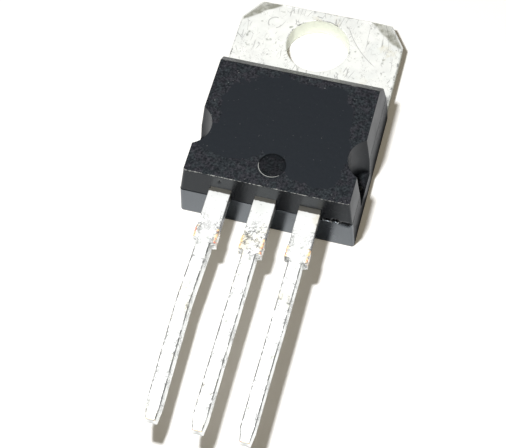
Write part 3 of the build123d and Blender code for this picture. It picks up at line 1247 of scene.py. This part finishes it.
@dataclass
class TabPlate:
    """The drilled heat tab with the header that runs on under the moulding.

    The skin is a set of loops around the hole: each loop lies between the hole's circle and
    the outline, as seen from the hole's centre.
    """

    package: Package
    name: str = "tab_plate"
    hole_radius: float = 1.925
    hole_rim: float = 0.06
    corner_cut_x: float = 0.95
    corner_cut_y: float = 1.45
    pressed_x: float = 2.40
    pressed_y: float = 1.80
    pressed_angle: float = 3.5
    header_side_cover: float = 0.33
    header_length: float = 6.70
    lock_step: float = 0.50
    lock_height: float = 0.45
    base_side_draft: float = 4.0
    roll_over: float = 0.09
    burr: float = 0.022
    dent_depth: float = 0.008
    corner_radius: float = 0.10
    pitch: float = 0.09

    def __post_init__(self) -> None:
        """Works out the header's outline."""
        package = self.package
        lean = package.tab_thickness * tan(radians(self.base_side_draft))
        self.header_half = package.base_half_width - lean - self.header_side_cover
        self.lower_half = self.header_half - self.lock_step
        self.header_end = package.body_tab_y - self.header_length
        self.lower_end = self.header_end + self.lock_step

    def outline(self, half: float, end: float) -> Array:
        """The plate's outline with a header of that half width and end.

        Args:
            half: Half width of the header.
            end: Where the header ends.

        Returns:
            The outline's points, anticlockwise.
        """
        package, radius = self.package, self.corner_radius
        wide, top, waist = package.tab_half_width, package.tab_end_y, package.body_tab_y
        corners = (
            (wide, waist, 0.02),
            (wide, top - self.corner_cut_y, radius),
            (wide - self.corner_cut_x, top, radius),
            (self.corner_cut_x - wide, top, radius),
            (-wide, top - self.corner_cut_y, radius),
            (-wide, waist, 0.02),
            (-half, waist, 0.02),
            (-half, end, 0.05),
            (half, end, 0.05),
            (half, waist, 0.02),
        )
        return rounded_loop(corners, self.pitch)

    def top_shape(self, x: Array, y: Array) -> tuple[Array, Array]:
        """How far the top face stands off its plane.

        The corners fall away beyond a line across each, as depth beyond the line times the
        tangent of the pressed angle, eased in at the line. A low burr stands along the free
        end near the corners, and shallow ripples and dents cover the rest.

        Args:
            x: Place across.
            y: Place along.

        Returns:
            The offset, and the mask of the pressed corners, which get painted shade.
        """
        package = self.package
        run = np.hypot(self.pressed_x, self.pressed_y)
        beyond = (
            self.pressed_y * (np.abs(x) - package.tab_half_width + self.pressed_x)
            + self.pressed_x * (y - package.tab_end_y)
        ) / run + 0.14 * ripple(x, y, 0.6, 12)
        pressed = ramp(beyond, -0.10, 0.08) * (1.0 - 0.38 * ramp(beyond, 0.15, 0.75))
        drop = np.maximum(beyond, 0.0) * tan(radians(self.pressed_angle)) + 0.012 * pressed
        inner = ramp(np.abs(x), 1.2, 2.2) * (1.0 - ramp(np.abs(x), 3.6, 4.0))
        broken = ramp(ripple(x, y, 0.12, 14), -0.1, 0.5)
        burr = self.burr * inner * broken * ramp(y, package.tab_end_y - 0.16, package.tab_end_y - 0.10)
        wave = 0.005 * ripple(x, y, 1.3, 21) + 0.002 * ripple(x, y, 0.25, 22)
        away = np.hypot(x - DENT_PLACE[0], y - DENT_PLACE[1]) / DENT_RADIUS
        dent = self.dent_depth * np.maximum(1.0 - away**2, 0.0)
        return burr + wave - dent - drop, pressed

    def rings(self, far: Array, low_far: Array) -> list[tuple[Array | float, float, float, float, float]]:
        """The loops of the skin: up the hole, over the top, down the edge and back below.

        Args:
            far: Distance from the hole's centre to the outline.
            low_far: The same for the narrower header below the locking step.

        Returns:
            Radius, height, and shares of edge, sheared side and bore of each loop, closed.
        """
        hole, rim, roll = self.hole_radius, self.hole_rim, self.roll_over
        thick, low = self.package.tab_thickness, self.lock_height - 0.004
        rings: list[tuple[Array | float, float, float, float, float]] = []
        for z in stops((0.03, thick - rim), (0.15,)):
            rings.append((hole, z, 0.0, 0.0, 1.0))
        for turn in np.linspace(0.0, pi / 2, 5)[1:]:
            rings.append((hole + rim * (1 - cos(turn)), thick - rim * (1 - sin(turn)), 0.4, 0.0, 0.0))
        for share in stops((0.0, 0.06, 0.9, 1.0), (0.02, 0.0165, 0.02))[1:-1]:
            rings.append((hole + rim + (far - roll - hole - rim) * share, thick, 0.0, 0.0, 0.0))
        for turn in np.linspace(0.0, pi / 2, 6):
            rings.append((far - roll * (1 - sin(turn)), thick - roll * (1 - cos(turn)), 1.0, 0.0, 0.0))
        for z in stops((self.lock_height, thick - roll), (0.15,))[-2::-1]:
            rings.append((far, z, 0.0, 1.0, 0.0))
        for z in stops((0.03, low), (0.15,))[::-1]:
            rings.append((low_far, z, 0.0, 1.0, 0.0))
        for share in stops((0.0, 0.02, 0.98, 1.0), (0.01, 0.08, 0.01))[::-1]:
            rings.append((hole + 0.03 + (low_far - 0.03 - hole - 0.03) * share, 0.0, 0.0, 0.0, 0.0))
        return [*rings, rings[0]]

    def build(self, material: bpy.types.Material) -> bpy.types.Object:
        """Makes the plate from its loops.

        Args:
            material: Its finish.

        Returns:
            The finished piece.
        """
        outline = self.outline(self.header_half, self.header_end)
        lower = self.outline(self.lower_half, self.lower_end)
        angle, far = np.arctan2(outline[:, 1], outline[:, 0]), np.hypot(outline[:, 0], outline[:, 1])
        lower_angle = np.arctan2(lower[:, 1], lower[:, 0])
        low_far = np.interp(angle, lower_angle, np.hypot(lower[:, 0], lower[:, 1]), period=2 * pi)
        radius, z, edge, side, bore = (
            np.stack([np.broadcast_to(value, angle.shape) for value in column])
            for column in zip(*self.rings(far, low_far))
        )
        x, y = radius * np.cos(angle), radius * np.sin(angle)
        offset, pressed = self.top_shape(x, y)
        shown = ramp(y, self.package.body_tab_y - 0.4, self.package.body_tab_y - 0.1)
        z = z + offset * shown * np.clip((z - 0.5) / (self.package.tab_thickness - 0.5), 0.0, 1.0)
        rim_wear = np.where(edge < 0.5, 1.3 * edge * ramp(np.sin(angle - 0.3), -0.2, 0.5), 0.45 * edge)
        # Painted shade on one side of the bore wall, carried in the same mask as the pressed corners.
        shade = 0.6 * bore * ramp(np.cos(angle - radians(198)), 0.55, 0.95)
        on_top = (edge < 0.5) & (z > 0.5) & (side + bore == 0)
        marks = {
            Mark.EDGE: rim_wear * shown,
            Mark.SHEARED: side,
            Mark.BORE: bore,
            Mark.PAINTED_SHADE: np.maximum(pressed * on_top, shade),
        }
        skin = Skin(self.name)
        skin.add(np.stack([x, y, z], axis=-1), marks, wrap=True)
        return skin.write(material, Slot.TAB, ["heat_tab"])


@dataclass(frozen=True)
class LeadWear:
    """How one lead differs from the next.

    The stubs start that much nearer the tip. crazing is its amount at the edges and between.
    bow is how far the lead stands to the right, at shares 0, 0.23, 0.5, 0.75 and 1 of its
    length from the body. lean is how much further right its back stands. film_end is where
    the film of compound on its front ends.
    """

    left_stub: float
    right_stub: float
    crazing: tuple[float, float]
    bow: tuple[float, float, float, float, float]
    lean: float
    film_end: float
    seed: int


@dataclass(frozen=True)
class LeadGrid:
    """The skin of a straight lead, about its own middle line, row by row along it.

    half is the half width on the point's own side. run, lift and front are the shares of the
    length, of the thickness and of the front's flat. The last four say where a point lies.
    """

    x: Array
    y: Array
    z: Array
    half: Array
    run: Array
    lift: Array
    front: Array
    on_right: Array
    on_side: Array
    on_front: Array
    on_rim: Array


@dataclass
class Lead:
    """One flat lead: bonding end, wide shoulder, sheared tie-bar stubs, thin leg and tip.

    A rounded rectangle is carried along the lead. Its two sides follow profiles of half
    width against distance, and its back and front follow the lead's bends.
    """

    package: Package
    name: str
    centre_x: float
    nodes: Sequence[str]
    wear: LeadWear
    width: float = 0.77
    shoulder_width: float = 1.24
    shoulder_length: float = 3.25
    stub_width: float = 1.38
    stub_length: float = 0.95
    tip_half_widths: tuple[float, float] = (0.22, 0.30)
    tip_length: float = 0.75
    tip_press: float = 0.12
    front_radius: float = 0.04
    back_radius: float = 0.03
    flare: float = 0.08
    bridge: tuple[float, float, float] | None = None
    slope: float = 50.0
    neck_share: float = 1 / 3

    def spine(self) -> tuple[Array, Array, Array, Array]:
        """Places along the lead.

        An outer lead is straight. The centre lead starts low on the header, climbs at its
        slope and runs on straight, with mitred bends.

        Returns:
            y and z of the back, and y and z of the front, from the inner end to the tip.
        """
        package = self.package
        shoulder_end = package.body_lead_y - self.shoulder_length
        tip, tip_start = package.lead_tip_y, package.lead_tip_y + self.tip_length
        face = package.body_lead_y
        marks = [tip, tip + 0.04, tip_start, shoulder_end - 0.35, face - 0.3, face + 0.3]
        pitches = [0.02, 0.05, 0.10, 0.035, 0.02]
        if self.bridge is None:
            y = stops((*marks, package.post_end_y), (*pitches, 0.06))[::-1]
            return y, np.full_like(y, package.lead_back), y, np.full_like(y, package.lead_front)
        start, foot, header_top = self.bridge
        thick = package.lead_front - package.lead_back
        foot_back = header_top - thick
        climb = foot - (package.lead_back - foot_back) / tan(radians(self.slope))
        mitre = thick * tan(radians(self.slope / 2))
        y = stops((*marks, climb, foot, start), (*pitches, 0.1, 0.15, 0.15))[::-1]
        back = np.interp(y, (climb, foot), (package.lead_back, foot_back))
        front_y = y + np.interp(y, (face + 0.3, climb, foot, start), (0.0, mitre, mitre, 0.0))
        front = np.interp(front_y, (climb + mitre, foot + mitre), (package.lead_front, header_top))
        return y, back, front_y, front

    def half_widths(self, y: Array) -> tuple[Array, Array]:
        """Distance of the left and the right side from the lead's middle line.

        The tie-bar stubs were sheared off, so they end raggedly and a little apart.

        Args:
            y: Places along the lead.

        Returns:
            The two distances.
        """
        tip, face, post_end = self.package.lead_tip_y, self.package.body_lead_y, self.package.post_end_y
        end, leg = face - self.shoulder_length, self.width / 2
        shoulder, stub = self.shoulder_width / 2, self.stub_width / 2
        sides = []
        for number, ragged in enumerate((self.wear.left_stub, self.wear.right_stub)):
            low = end - ragged
            top = end + self.stub_length
            places = [tip, tip + self.tip_length, low, low + 0.05, top - 0.1, top]
            widths = [self.tip_half_widths[number], leg, leg, stub - 0.03, stub - 0.02, shoulder]
            if self.bridge is None:
                post, neck = self.package.post_half_width, face + (post_end - face) * self.neck_share
                places += [neck, neck + 0.02, post_end - 0.4, post_end]
                widths += [shoulder, post, post, post - 0.4]
            wave = 0.012 * ripple(y, y * 0 + number, 0.22, self.wear.seed + number)
            torn = 0.02 * ripple(y, y * 0 + number, 0.07, self.wear.seed + 7 + number)
            on_stub = ramp(y, low - 0.02, low + 0.06) * (1.0 - ramp(y, end + 0.9, end + 1.0))
            outside = 1.0 - ramp(y, face - 0.4, face - 0.1)
            sides.append(np.interp(y, places, widths) + outside * (0.4 * wave + torn * on_stub))
        return sides[0], sides[1]

    def section(self) -> tuple[Array, Array, Array, Array]:
        """Once around the rounded rectangle, from the middle of the front.

        Returns:
            Share of the straight half width and half thickness, and the share of the corner
            radius across and up, at each point.
        """
        turn = np.linspace(0.0, pi / 2, 5)
        flat = np.array([0.0, 0.2, 0.4, 0.6, 0.8, 0.89, 0.95])
        side = np.linspace(1.0, -1.0, 7)[1:-1]
        corner, middle, edge = np.ones_like(turn), np.ones_like(flat), np.ones_like(side)
        share_x = np.concatenate([flat, corner, edge, corner, flat[::-1]])
        share_z = np.concatenate([middle, corner, side, -corner, -middle])
        round_x = np.concatenate([0 * flat, np.sin(turn), edge, np.cos(turn), 0 * flat])
        round_z = np.concatenate([middle, np.cos(turn), 0 * side, -np.sin(turn), -middle])
        mirror = slice(-2, 0, -1)
        shares = ((share_x, -1), (share_z, 1), (round_x, -1), (round_z, 1))
        return tuple(np.concatenate([share, sign * share[mirror]]) for share, sign in shares)

    def grid(self) -> LeadGrid:
        """Carries the section along the spine.

        At each place the point is the straight share of the half width plus its share of
        the corner radius, and its height blends the back into the front the same way.

        Returns:
            The skin of the straight lead.
        """
        face, tip = self.package.body_lead_y, self.package.lead_tip_y
        back_y, back_z, front_y, front_z = self.spine()
        left, right = self.half_widths(back_y)
        share_x, share_z, round_x, round_z = self.section()
        radius = np.where(round_z > 0, self.front_radius, self.back_radius)
        on_right = share_x + round_x > 0
        half = np.where(on_right, right[:, None], left[:, None])
        thick = self.package.lead_front - self.package.lead_back
        lift = (share_z * (thick / 2 - radius) + round_z * radius) / thick + 0.5
        y = back_y[:, None] + (front_y - back_y)[:, None] * lift
        return LeadGrid(
            x=share_x * (half - radius) + round_x * radius,
            y=y,
            z=back_z[:, None] + (front_z - back_z)[:, None] * lift,
            half=half,
            run=(face - y) / (face - tip),
            lift=lift,
            front=np.clip(share_z + 0.1, 0.0, 1.0),
            on_right=on_right,
            on_side=np.abs(round_x) > 0.99,
            on_front=round_z > 0.1,
            on_rim=(np.abs(share_x) > 0.94) & (round_z > 0.1),
        )

    def stub_zone(self, y: Array) -> Array:
        """How much of the stubs' cutting shows at each place along the lead."""
        face, end = self.package.body_lead_y, self.package.body_lead_y - self.shoulder_length
        return ramp(y, end - 0.5, end) * (1.0 - ramp(y, face - 2.0, face - 0.9))

    def bent(self, grid: LeadGrid) -> Array:
        """Shapes the straight lead as it came to be.

        The tip is pressed down at the front. The whole bows sideways, its back leans out
        beyond the shoulder, and ripples dent its front.

        Args:
            grid: The straight lead.

        Returns:
            The points, about the lead's own middle line.
        """
        wear, face, tip = self.wear, self.package.body_lead_y, self.package.lead_tip_y
        y, run, lift = grid.y, grid.run, grid.lift
        x = grid.x + np.interp(run, (0.0, 0.23, 0.5, 0.75, 1.0), wear.bow)
        shoulder_share = self.shoulder_length / (face - tip)
        out = ramp(run, shoulder_share - 0.02, shoulder_share + 0.02) * (1.0 - lift)
        x = x + out * (wear.lean + self.flare * np.clip(x / 0.3, -1.0, 1.0) * (1.0 - 0.4 * run))
        z = grid.z - self.tip_press * (1.0 - ramp(y, tip, tip + self.tip_length)) * lift
        dent = 0.004 * ripple(x + 3, y, 0.5, wear.seed + 20)
        dent = dent + 0.005 * self.stub_zone(y) * ripple(x + 3, y, 0.16, wear.seed + 21)
        z = z + (1.0 - ramp(y, face - 0.3, face)) * dent * grid.front
        return np.stack([x, y, z], axis=-1)

    def marks(self, grid: LeadGrid, x: Array) -> Masks:
        """What wear and tool left on the lead, and painted shade on the shoulders' sides.

        Args:
            grid: The straight lead.
            x: Place across of the bent lead.

        Returns:
            The masks.
        """
        wear, face, y = self.wear, self.package.body_lead_y, grid.y
        across = np.abs(grid.x) / grid.half
        outside = 1.0 - ramp(y, face - 0.3, face)
        above_stub = y > face - self.shoulder_length + self.stub_length
        line = grid.on_rim * np.where(grid.on_right, 0.80, 0.72) * np.where(above_stub, 0.35, 1.0)
        on_stub = (grid.half > self.shoulder_width / 2 + 0.01) & (y < face - 1)
        stub_edge = ramp(across, 0.52, 0.88) * grid.on_front
        bare = np.maximum(0.50 * grid.on_side, 0.60 * stub_edge) * on_stub
        bare[-2:] = np.maximum(bare[-2:], 0.85 * grid.on_front)
        film = ramp(y + 0.02 * ripple(x, y, 0.05, wear.seed + 30), wear.film_end - 0.01, wear.film_end + 0.01)
        patches = ramp(ripple(y, 0.0 * y, 0.8, wear.seed + 40), 0.05, 0.5)
        crazed = self.stub_zone(y) * np.interp(across, (0.4, 0.95), wear.crazing[::-1])
        crazed = np.maximum(crazed, 0.75 * patches * ramp(across, 0.0, 0.9) * (grid.run > 0.3))
        return {
            Mark.EDGE: line * outside,
            Mark.SHEARED: grid.on_side * outside,
            Mark.WORN: crazed,
            Mark.BARE: bare,
            # Painted shade: the shoulders' sides above the stubs take the dark film colour.
            Mark.FILM_AND_SHADE: np.maximum(film, 0.9 * grid.on_side * above_stub),
        }

    def build(self, material: bpy.types.Material) -> bpy.types.Object:
        """Makes the lead, with both ends closed on their middle.

        Args:
            material: Its finish.

        Returns:
            The finished piece.
        """
        grid = self.grid()
        points = self.bent(grid)
        marks = self.marks(grid, points[..., 0])
        points = points + (self.centre_x, 0.0, 0.0)
        first, last = (np.broadcast_to(points[row].mean(axis=0), points[row].shape)[None] for row in (0, -1))
        inner = last + 0.75 * (points[-1:] - last)
        points = np.concatenate([first, points, inner, last])
        marks = {mark: np.concatenate([mask[:1], mask, mask[-1:], mask[-1:]]) for mark, mask in marks.items()}
        marks[Mark.BARE][-2:] = 0.0
        skin = Skin(self.name)
        skin.add(points, marks, wrap=True)
        return skin.write(material, Slot.LEAD, self.nodes)


@dataclass
class InnerParts:
    """Chip, solder and bond wires, sealed in the moulding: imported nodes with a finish."""

    finishes: dict[str, InnerFinish]

    def build(self) -> list[bpy.types.Object]:
        """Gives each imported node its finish.

        Returns:
            The dressed nodes.
        """
        made = {finish: finish.build() for finish in dict.fromkeys(self.finishes.values())}
        pieces = [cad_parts[node] for node in self.finishes]
        for piece, finish in zip(pieces, self.finishes.values()):
            piece.data.materials.clear()
            piece.data.materials.append(made[finish])
        return pieces


@dataclass
class Studio:
    """Camera, floor and lights. Distances are in millimetres."""

    camera_place: tuple[float, float, float] = (10.622, -49.320, 67.560)
    camera_forward: tuple[float, float, float] = (-0.14652, 0.47465, -0.86789)
    camera_roll: float = -2.568
    lens: float = 96.077
    sensor: float = 36.0
    lamp_place: tuple[float, float, float] = (-4.3, -25.0, 47.1)
    lamp_radius: float = 2.0
    lamp_level: float = 41.0
    white: Colour = (1.0, 1.0, 1.0, 1.0)
    sky_tint: Colour = (0.03, 0.03, 0.03, 1.0)
    shadow_lift: Colour = (0.19, 0.167, 0.124, 1.0)
    mirrored_sky: Colour = (0.58, 0.58, 0.58, 1.0)
    paper: tuple[Colour, Colour] = ((0.52, 0.515, 0.50, 1.0), (0.56, 0.555, 0.54, 1.0))
    floor_half: float = 3000.0
    floor_drop: float = 0.02

    def first_mirror(self, nodes: Nodes, rays: Sockets) -> Socket:
        """Glossy rays that no dull surface has turned before: they see the surroundings white."""
        return nodes.times(rays["Is Glossy Ray"], nodes.math("LESS_THAN", rays["Diffuse Depth"], 0.5))

    def place_camera(self) -> None:
        """Makes the camera: its right axis is level, then the camera is rolled about its view."""
        data = bpy.data.cameras.new("camera")
        data.lens, data.sensor_width = self.lens, self.sensor
        data.clip_start, data.clip_end = 0.001, 50.0
        camera = bpy.data.objects.new("camera", data)
        bpy.context.scene.collection.objects.link(camera)
        forward = Vector(self.camera_forward).normalized()
        level = forward.cross(Vector((0.0, 0.0, 1.0))).normalized()
        upright = level.cross(forward)
        roll = radians(self.camera_roll)
        right = level * cos(roll) + upright * sin(roll)
        up = right.cross(forward)
        turn = Matrix((right, up, -forward)).transposed().to_4x4()
        camera.matrix_world = Matrix.Translation(Vector(self.camera_place) * MM) @ turn
        bpy.context.scene.camera = camera

    def place_floor(self) -> bpy.types.Object:
        """Makes the white floor just under the part.

        Returns:
            The floor.
        """
        half, low = self.floor_half * MM, -self.floor_drop * MM
        mesh = bpy.data.meshes.new("floor")
        corners = [(-half, -half, low), (half, -half, low), (half, half, low), (-half, half, low)]
        mesh.from_pydata(corners, [], [(0, 1, 2, 3)])
        material, nodes, shader, place = new_material("white_paper")
        mottle = nodes.ease(nodes.noise(place, 60.0, 4.0), 0.3, 0.7)
        paper = nodes.mix(mottle, *self.paper)
        rays = nodes.put("LightPath").outputs
        seen = nodes.math("MAXIMUM", rays["Is Camera Ray"], self.first_mirror(nodes, rays))
        shown = {
            "Base Color": nodes.mix(seen, paper, self.white),
            "Emission Strength": rays["Is Camera Ray"],
            "Emission Color": self.shadow_lift,
            "Roughness": 0.9,
            "Specular IOR Level": 0.2,
        }
        nodes.wire(shader, shown)
        mesh.materials.append(material)
        floor = bpy.data.objects.new("floor", mesh)
        bpy.context.scene.collection.objects.link(floor)
        return floor

    def place_lights(self) -> None:
        """Makes the small near lamp, which keeps its level at any distance, and the surroundings."""
        lamp = bpy.data.lights.new("main_light", "POINT")
        lamp.energy, lamp.shadow_soft_size = self.lamp_level, self.lamp_radius * MM
        lamp.use_nodes = True
        lamp.node_tree.nodes.clear()
        nodes = Nodes(lamp.node_tree)
        even = nodes.put("LightFalloff", {"Strength": 1.0}).outputs["Constant"]
        nodes.put("OutputLight", {"Surface": nodes.put("Emission", {"Strength": even}).outputs[0]})
        light = bpy.data.objects.new("main_light", lamp)
        light.location = Vector(self.lamp_place) * MM
        bpy.context.scene.collection.objects.link(light)
        world = bpy.data.worlds.new("surroundings")
        world.use_nodes = True
        world.node_tree.nodes.clear()
        nodes = Nodes(world.node_tree)
        rays = nodes.put("LightPath").outputs
        seen = nodes.math("MAXIMUM", rays["Is Camera Ray"], rays["Is Transmission Ray"])
        unseen = nodes.mix(self.first_mirror(nodes, rays), self.sky_tint, self.mirrored_sky)
        colour = nodes.mix(seen, unseen, self.white)
        nodes.put("OutputWorld", {"Surface": nodes.put("Background", {"Color": colour}).outputs[0]})
        bpy.context.scene.world = world

    def build(self) -> None:
        """Sets up the whole studio."""
        self.place_camera()
        self.place_floor()
        self.place_lights()
        bpy.context.scene.view_settings.view_transform = "Standard"


TAB_SCRATCHES = (
    ArcScratch(7.121, 4.306, 6.097, 219.8, 34.0, 0.045),
    ArcScratch(7.30, 4.45, 6.42, 214.0, 13.0, 0.03),
    ArcScratch(*DENT_PLACE, DENT_RADIUS, 150.0, 150.0, 0.06),
    ArcScratch(*DENT_PLACE, 0.40, 320.0, 60.0, 0.05),
    ArcScratch(8.9, 3.0, 4.9, 212.0, 14.0, 0.03),
    ArcScratch(-8.0, -1.4, 4.95, 6.0, 9.0, 0.05),
)

LEAD_WEAR = {
    "input": LeadWear(-0.13, 0.03, (0.95, 0.36), (-0.06, -0.06, -0.13, -0.03, 0.09), 0.02, -12.66, 31),
    "centre": LeadWear(-0.02, 0.06, (1.0, 0.9), (-0.01, -0.01, -0.01, 0.0, 0.03), 0.0, -12.65, 47),
    "output": LeadWear(-0.16, 0.03, (0.9, 0.24), (0.0, 0.0, 0.0, -0.02, -0.02), 0.0, -12.71, 59),
}

SILICON = InnerFinish("chip_silicon", (0.30, 0.32, 0.36, 1.0), (0.22, 0.24, 0.28, 1.0), (0.12, 0.25), 9000.0)
SOLDER = InnerFinish("soft_solder", (0.62, 0.62, 0.64, 1.0), (0.48, 0.48, 0.50, 1.0), (0.35, 0.55), 6000.0)
WIRE = InnerFinish("drawn_aluminium", (0.85, 0.85, 0.87, 1.0), (0.75, 0.75, 0.78, 1.0), (0.20, 0.35), 12000.0)


def main() -> None:
    """Builds the studio and every piece."""
    logging.basicConfig(level=logging.INFO, format="%(message)s")
    Studio().build()
    package = Package.from_frame()
    plate = TabPlate(package)
    lead_tin = TinFinish(
        "tinned_lead",
        edge_amount=0.85,
        scratch_coverage=0.27,
        speck_coverage=0.50,
        stain_from=0.53,
    ).build()
    tab_tin = TinFinish(
        "tinned_tab",
        ground=(0.95, 0.955, 0.92, 1.0),
        tarnish=(0.82, 0.84, 0.82, 1.0),
        side=(0.42, 0.41, 0.33, 1.0),
        side_gloss=0.0,
        edge_amount=0.75,
        scratch_amount=0.48,
        scratch_coverage=0.46,
        speck_coverage=0.5,
        arcs=TAB_SCRATCHES,
    ).build()
    body = MouldBody(package, plate.lower_half, plate.lower_end)
    pieces = [body.build(MouldFinish().build()), plate.build(tab_tin)]
    pitch = package.lead_pitch
    bridge = (plate.lower_end, plate.header_end - 0.20, package.tab_thickness)
    for lead in (
        Lead(package, "input_lead_strip", -pitch, ["input_lead"], LEAD_WEAR["input"]),
        Lead(package, "centre_lead_strip", 0.0, ["heat_tab"], LEAD_WEAR["centre"], bridge=bridge),
        Lead(package, "output_lead_strip", pitch, ["output_lead"], LEAD_WEAR["output"]),
    ):
        pieces.append(lead.build(lead_tin))
    inner = {"regulator_chip": SILICON, "chip_solder": SOLDER}
    inner |= {f"{end}_bond_wire": WIRE for end in ("input", "output", "ground")}
    pieces += InnerParts(inner).build()
    for piece in pieces:
        log.info("%s: %d faces", piece.name, len(piece.data.polygons))


if __name__ == "__main__":
    main()
